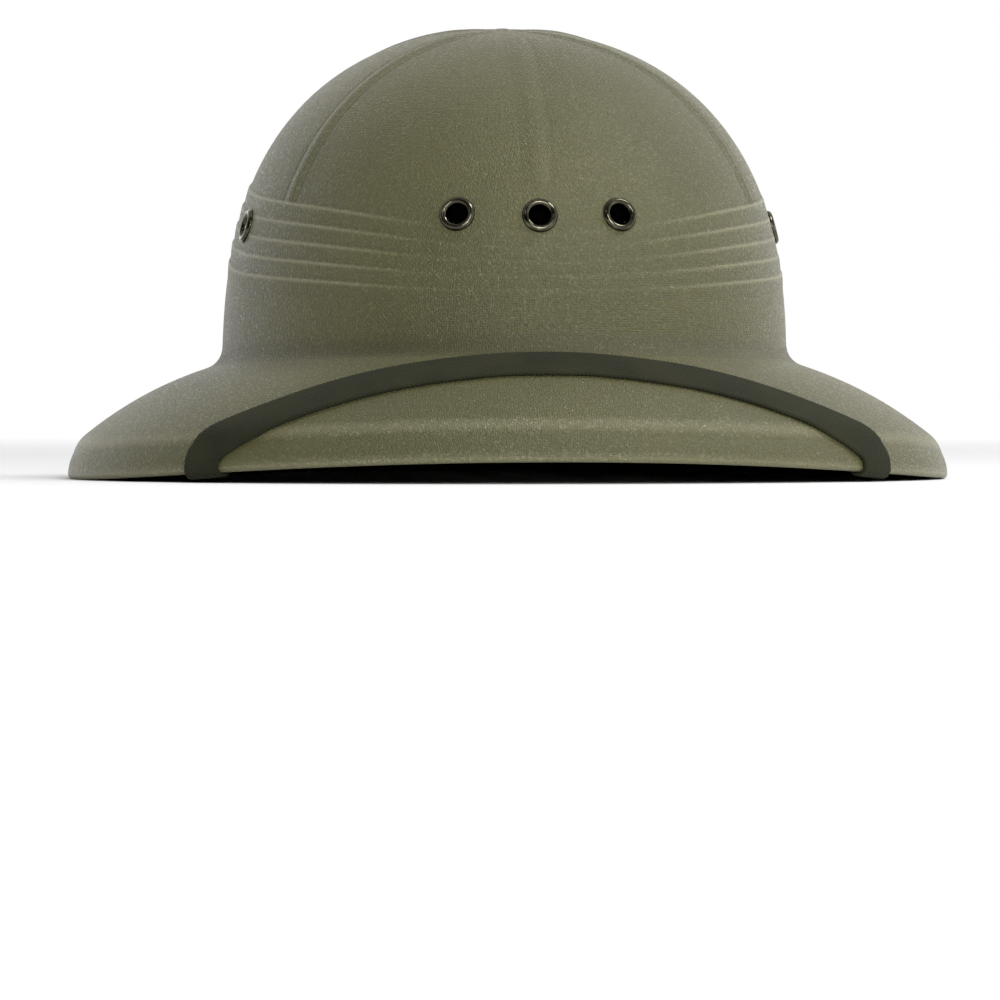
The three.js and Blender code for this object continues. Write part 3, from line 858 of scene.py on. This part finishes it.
class Finish(Tree):
    """A material, with the nodes that the finishes share."""

    def __init__(self, name):
        self.material = bpy.data.materials.new(name)
        self.material.use_nodes = True
        super().__init__(self.material.node_tree)

    def mark(self, name):
        return self.node("ShaderNodeAttribute", {"attribute_name": name}, out="Fac")

    def places(self, uv):
        """The place on the flat cloth as a vector in metres, and its two coordinates in millimetres."""
        vector = self.node("ShaderNodeUVMap", {"uv_map": uv})
        split = self.node("ShaderNodeSeparateXYZ", None, vector)
        other = Value(self, split.socket.node.outputs["Y"])
        return vector, split / MM, other / MM

    def body(self):
        """Places on the object, in metres."""
        return self.node("ShaderNodeTexCoord", None, out="Object")

    def noise(self, vector, scale, detail=2, roughness=0.5):
        return self.node(
            "ShaderNodeTexNoise", None, Vector=vector, Scale=scale, Detail=detail, Roughness=roughness)

    def stretched(self, vector, x, y, z):
        return self.node("ShaderNodeVectorMath", {"operation": "MULTIPLY"}, vector, (x, y, z))

    def mixed(self, share, one, two):
        """Colour one, or colour two where share is 1."""
        other_types = [None] * 5
        return self.node("ShaderNodeMix", {"data_type": "RGBA"}, share, *other_types, one, two, out=2)

    def bump(self, height, depth, strength=1.0, normal=None):
        """Relief of depth millimetres where height goes from 0 to 1."""
        return self.node(
            "ShaderNodeBump", None, Strength=strength, Distance=depth * MM, Height=height, Normal=normal)

    def surface(self, **sockets):
        shader = self.node("ShaderNodeBsdfPrincipled", **sockets)
        self.node("ShaderNodeOutputMaterial", Surface=shader)
        return self.material


def colour(red, green, blue):
    """A shade given as on a screen, 0 to 255."""
    def linear(value):
        value /= 255
        return value / 12.92 if value <= 0.04045 else ((value + 0.055) / 1.055) ** 2.4
    return (linear(red), linear(green), linear(blue), 1)


def weave_of(finish, u, v, pitch):
    """Plain weave: threads that rise in turn along both ways of the cloth, 0 to 1."""
    warp = (u * (math.pi / pitch)).sin()
    weft = (v * (math.pi / pitch)).sin()
    over = (warp * weft).ramp(-0.25, 0.25)
    return abs(warp) * over + abs(weft) * (1 - over)


def pressed_cloth():
    finish = Finish("pressed_cloth")
    vector, u, v = finish.places("cloth")
    body = finish.body()
    crest, hollow = finish.mark("crest"), finish.mark("hollow")
    weave = weave_of(finish, u, v, THREAD)
    slub = finish.noise(finish.stretched(vector, 1, 0.4, 1), 1100, 2)
    slub_across = finish.noise(finish.stretched(vector, 0.4, 1, 1), 1100, 2)
    grain = finish.noise(body, 1250, 1, 0.5)
    speck = finish.noise(body, 1100, 1, 0.5).ramp(0.54, 0.7)
    patch = finish.noise(body, 14, 3)
    mottle = finish.noise(body, 130, 3, 0.6)
    tone = finish.mixed(patch.ramp(0.35, 0.68), colour(72, 71, 34), colour(82, 80, 42))
    tone = finish.mixed(mottle.ramp(0.3, 0.75) * 0.2, tone, colour(72, 72, 38))
    slubs = slub.ramp(0.55, 0.8) + slub_across.ramp(0.55, 0.8)
    tone = finish.mixed(slubs * 0.12, tone, colour(120, 116, 80))
    tone = finish.mixed((1 - weave) * 0.25, tone, colour(54, 54, 28))
    tone = finish.mixed((1 - grain.ramp(0.35, 0.5)) * 0.35, tone, colour(54, 54, 28))
    # Pale fibre specks, with painted glints added where the painted highlight lies, then the painted
    # highlight on ridges, edges, shoulder and rim
    tone = finish.mixed(speck * (0.07 + crest * 0.3), tone, colour(158, 153, 118))
    tone = finish.mixed(crest * crest * 0.5, tone, colour(142, 139, 108))
    # Painted shade in the fold valleys, the fillet and the shadow lines beside the ribs
    tone = finish.mixed(hollow * 0.5, tone, colour(50, 45, 24))
    rough = 0.5 - speck * 0.2 - crest * 0.06 + hollow * 0.1
    swell = finish.bump(patch, 0.6, 0.35)
    relief = finish.bump(weave * 0.3 + (slub + slub_across) * 0.12 + grain * 0.9, 0.45, 1.0, swell)
    return finish.surface(
        Base_Color=tone, Roughness=rough, Normal=relief, Specular_IOR_Level=0.5,
        Coat_Weight=speck * 0.15, Coat_Roughness=0.35,
        Sheen_Weight=0.14, Sheen_Roughness=0.35, Sheen_Tint=(1.0, 0.96, 0.8, 1))


def lining_cloth():
    finish = Finish("lining_cloth")
    _, u, v = finish.places("cloth")
    body = finish.body()
    hollow = finish.mark("hollow")
    weave = weave_of(finish, u, v, THREAD)
    grain = finish.noise(body, 2200, 2, 0.6)
    patch = finish.noise(body, 18, 3)
    tone = finish.mixed(patch.ramp(0.35, 0.7), colour(62, 60, 36), colour(71, 68, 43))
    tone = finish.mixed((1 - weave) * 0.25, tone, colour(44, 42, 24))
    tone = finish.mixed(grain.ramp(0.58, 0.8) * 0.15, tone, colour(108, 104, 76))
    # Painted shade in the corner inside the flange
    tone = finish.mixed(hollow * 0.3, tone, colour(36, 34, 20))
    relief = finish.bump(weave * 0.6 + grain * 0.5, 0.08, 0.7, finish.bump(patch, 0.5, 0.3))
    return finish.surface(
        Base_Color=tone, Roughness=0.6 + grain * 0.15, Normal=relief, Specular_IOR_Level=0.35,
        Sheen_Weight=0.08, Sheen_Roughness=0.5, Sheen_Tint=(0.9, 0.86, 0.66, 1))


def strap_webbing():
    finish = Finish("strap_webbing")
    _, along, across = finish.places("webbing")
    body = finish.body()
    slant = ((along + across * 0.9) * (2 * math.pi / 1.5)).sin()
    cords = abs((across * (math.pi / 0.9)).sin())
    picks = abs((along * (math.pi / 0.75)).sin())
    weave = cords * 0.5 + picks * 0.3 + slant.ramp(-1, 1) * 0.35
    fuzz = finish.noise(body, 2400, 3, 0.7)
    patch = finish.noise(body, 60, 2)
    tone = finish.mixed(patch.ramp(0.3, 0.7), colour(29, 31, 14), colour(38, 39, 20))
    tone = finish.mixed((1 - weave.least(1)) * 0.6, tone, colour(20, 21, 11))
    tone = finish.mixed(fuzz.ramp(0.58, 0.8) * 0.3, tone, colour(80, 79, 55))
    relief = finish.bump(weave + fuzz * 0.5, 0.22, 0.9)
    return finish.surface(
        Base_Color=tone, Roughness=0.82 + fuzz * 0.12, Normal=relief, Specular_IOR_Level=0.25,
        Sheen_Weight=0.06, Sheen_Roughness=0.4, Sheen_Tint=(0.7, 0.7, 0.5, 1))


def sweatband_leather():
    finish = Finish("sweatband_leather")
    body = finish.body()
    up = finish.mark("up_band")
    pebble = finish.node("ShaderNodeTexVoronoi", {"feature": "DISTANCE_TO_EDGE"}, Vector=body, Scale=900)
    crease = finish.noise(body, 160, 4, 0.65)
    worn = finish.noise(body, 40, 3)
    # A painted highlight on the band's rounded lower edge, stronger where the noise is high
    edge = (1 - up.ramp(0.0, 0.3)) * (0.35 + worn.ramp(0.4, 0.65) * 0.35)
    tone = finish.mixed(worn.ramp(0.4, 0.75), colour(17, 17, 11), colour(31, 30, 21))
    tone = finish.mixed(edge, tone, colour(100, 96, 74))
    rough = 0.42 + crease * 0.25
    relief = finish.bump(pebble.ramp(0, 0.25) * 0.6 + crease * 0.6, 0.12, 0.7)
    return finish.surface(Base_Color=tone, Roughness=rough, Normal=relief, Specular_IOR_Level=0.5)


def eyelet_metal():
    finish = Finish("eyelet_metal")
    body = finish.body()
    scratch = finish.noise(finish.stretched(body, 1, 1, 0.2), 1800, 3, 0.6)
    worn = finish.noise(body, 420, 3)
    tone = finish.mixed(worn.ramp(0.45, 0.75), colour(68, 66, 54), colour(98, 95, 80))
    relief = finish.bump(scratch, 0.012, 0.4)
    return finish.surface(
        Base_Color=tone, Metallic=1.0, Roughness=0.07 + worn * 0.07, Normal=relief)


# The pieces
def stand_for(piece, slot, *nodes):
    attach(piece, "root")
    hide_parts(*nodes)


def make_shell():
    piece = shell_piece("pressed_shell", pressed_cloth(), lining_cloth())
    drill_shell(piece)
    stand_for(piece, "cloth_shell", "shell")


# One side of an eyelet's section, as radius and height over the cloth
EYELET_OUTLINE = [
    (5.86, -0.05), (5.84, 0.3), (5.6, 0.75), (5.15, 1.15), (4.65, 1.32), (4.15, 1.2), (3.7, 0.8),
    (3.4, 0.2), (3.25, -0.6), (3.2, -1.8), (3.2, -3.0), (3.4, -3.7), (3.95, -4.15), (4.5, -4.25),
    (5.0, -3.95), (5.18, -3.5), (4.9, -3.3), (4.2, -3.3), (3.95, -3.0), (3.9, -1.8), (3.9, -0.6),
    (4.2, -0.12), (5.2, -0.12),
]


def make_eyelets():
    metal = eyelet_metal()
    for place, angle, height in EYELETS:
        piece = turned("vent_eyelet_" + place, smooth_outline(EYELET_OUTLINE, 2), EYELET_SIDES, metal)
        piece.data.transform(seat_matrix(angle, height))
        stand_for(piece, "eyelet", "eyelet_" + place)


def make_strap():
    piece = strap_piece("webbing_strap", strap_webbing())
    stand_for(piece, "strap", "chin_strap")


def make_sweatband():
    piece = sweatband_piece("leather_sweatband", sweatband_leather())
    stand_for(piece, "sweatband", "sweatband")


# The studio, in metres
CAMERA_DISTANCE = 2.152
CAMERA_AZIMUTH = math.radians(-6.3)
CAMERA_HEIGHT = 0.03
CAMERA_DROP = math.radians(1.0)
CAMERA_LENS = 225.8
CAMERA_CENTRE = (0, -0.0263, CAMERA_HEIGHT)
CAMERA_ASIDE = 0.002

WHITE = (1, 1, 1, 1)
BLACK = (0, 0, 0, 1)

# Each lamp's place, what it is aimed at, its size and its watts
LAMPS = {
    "light_left": ((-1.1, -1.4, 1.5), (0, 0, 0.08), (0.4, 0.4), 1.5),
    "light_right": ((1.0, -0.3, 1.5), (0, 0, 0.08), (0.5, 0.5), 14),
    "light_front": ((0.25, -1.9, 0.9), (0, 0, 0.08), (0.9, 0.6), 14),
    "light_low": ((0.05, -2.0, 0.4), (0, 0, 0.05), (1.0, 0.3), 14),
}

# How the air brightens towards a direction: from and to which cosine, and the strength before and after
AIR_SPANS = [
    ((0.45, 0.893, 0), (-0.75, 0.1, 0.1, 1.6)),
    ((0, 0, 1), (0.05, 0.55, 1.0, 0.5)),
]

# The floor's half width in millimetres, and the glow that pales its far part over this span of metres
FLOOR_REACH = 12000
FLOOR_GLOW_SPAN = (0.5, 2.5)
FLOOR_GLOW = 0.45


def make_camera():
    data = bpy.data.cameras.new("camera")
    data.lens = CAMERA_LENS
    data.sensor_width = 36
    data.clip_end = 50
    camera = bpy.data.objects.new("camera", data)
    bpy.context.scene.collection.objects.link(camera)
    back = Vector((math.sin(CAMERA_AZIMUTH), -math.cos(CAMERA_AZIMUTH), 0))
    right = Vector((math.cos(CAMERA_AZIMUTH), math.sin(CAMERA_AZIMUTH), 0))
    camera.location = Vector(CAMERA_CENTRE) + back * CAMERA_DISTANCE - right * CAMERA_ASIDE
    aim = -back * math.cos(CAMERA_DROP) - Vector((0, 0, math.sin(CAMERA_DROP)))
    camera.rotation_euler = aim.to_track_quat("-Z", "Y").to_euler()
    bpy.context.scene.camera = camera


def make_lamp(name, place, aim, size, watts):
    data = bpy.data.lights.new(name, "AREA")
    data.shape = "RECTANGLE"
    data.size, data.size_y = size
    data.energy = watts
    lamp = bpy.data.objects.new(name, data)
    bpy.context.scene.collection.objects.link(lamp)
    lamp.location = place
    lamp.rotation_euler = (Vector(aim) - Vector(place)).to_track_quat("-Z", "Y").to_euler()
    lamp.visible_camera = False


def make_air():
    """Bright soft air all round, dimmer in front and on the left. What is seen of it directly is plain
    white from every side."""
    world = bpy.data.worlds.new("studio_air")
    world.use_nodes = True
    air = Tree(world.node_tree)
    place = air.node("ShaderNodeTexCoord", out="Generated")
    sideways, upwards = (
        air.node("ShaderNodeVectorMath", {"operation": "DOT_PRODUCT"}, place, way, out="Value").ramp(*span)
        for way, span in AIR_SPANS)
    light = air.node("ShaderNodeBackground", None, WHITE, sideways * upwards)
    backdrop = air.node("ShaderNodeBackground", None, WHITE)
    seen = air.node("ShaderNodeLightPath", out="Is Camera Ray")
    air.node("ShaderNodeOutputWorld", Surface=air.node("ShaderNodeMixShader", None, seen, light, backdrop))
    bpy.context.scene.world = world


def make_floor():
    finish = Finish("pale_floor")
    grain = finish.noise(finish.body(), 60, 2)
    tone = finish.mixed(grain, (0.86, 0.86, 0.86, 1), (0.89, 0.89, 0.89, 1))
    away = finish.node("ShaderNodeVectorMath", {"operation": "LENGTH"}, finish.body(), out="Value")
    glow = finish.mixed(away.ramp(*FLOOR_GLOW_SPAN), BLACK, WHITE)
    finish.surface(
        Base_Color=tone, Roughness=0.9, Specular_IOR_Level=0.2,
        Emission_Color=glow, Emission_Strength=FLOOR_GLOW)
    corners = [(x * FLOOR_REACH, y * FLOOR_REACH, 0) for x, y in ((-1, -1), (1, -1), (1, 1), (-1, 1))]
    new_piece("studio_floor", corners, [(0, 1, 2, 3)], finish.material)


def make_studio():
    make_floor()
    for name, (place, aim, size, watts) in LAMPS.items():
        make_lamp(name, place, aim, size, watts)
    make_air()
    bpy.context.scene.view_settings.view_transform = "Standard"


make_camera()
make_studio()
make_shell()
make_eyelets()
make_strap()
make_sweatband()

bpy.context.view_layer.update()
